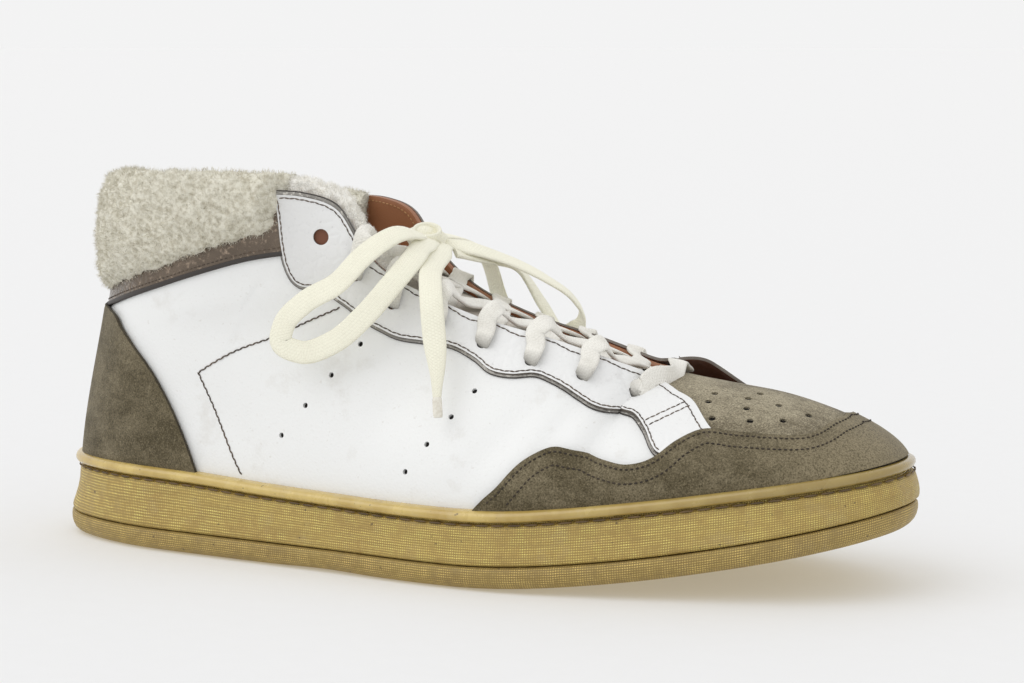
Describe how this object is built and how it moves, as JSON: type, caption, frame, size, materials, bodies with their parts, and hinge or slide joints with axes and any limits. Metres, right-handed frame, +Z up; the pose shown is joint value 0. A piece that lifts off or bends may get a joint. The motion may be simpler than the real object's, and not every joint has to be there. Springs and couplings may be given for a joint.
{
  "type": "high-top sneaker",
  "caption": "Laced high-top sneaker with a gum cup sole, white leather upper, suede toe and heel overlays and a deep shearling collar.",
  "frame": {"origin": "middle of the sole's length and width, on the ground", "axes": "+X from heel to toe, +Y to the medial (inner) side, +Z up"},
  "size_m": [0.2996, 0.108, 0.1274],
  "materials": {
    "gum_rubber": "textured",
    "welt_rubber": "satin",
    "white_leather": "smooth",
    "taupe_suede": "suede",
    "tan_lining": "smooth",
    "tongue_leather": "smooth",
    "shearling_wool": "wool pile",
    "lace_cotton": "woven",
    "bronze_leather": "metallic",
    "silver_leather": "metallic",
    "stitch_thread": "waxed",
    "clear_tip": "clear"
  },
  "bodies": {
    "root": {"outsole": "gum_rubber", "midsole": "gum_rubber", "welt": "welt_rubber", "insole": "tan_lining", "upper": "white_leather", "tongue": "tongue_leather", "toe_cap": "taupe_suede", "heel_counter": "taupe_suede", "eyestay_lateral": "white_leather", "eyestay_medial": "white_leather", "shearling_collar": "shearling_wool", "lace_bar": "lace_cotton", "lace_cross_1": "lace_cotton", "lace_cross_2": "lace_cotton", "lace_cross_3": "lace_cotton", "lace_cross_4": "lace_cotton", "lace_cross_5": "lace_cotton", "lace_cross_6": "lace_cotton", "lace_knot": "lace_cotton", "lace_loop_near": "lace_cotton", "lace_end_near": "lace_cotton", "lace_loop_far": "lace_cotton", "lace_end_far": "lace_cotton"}
  },
  "joints": []
}
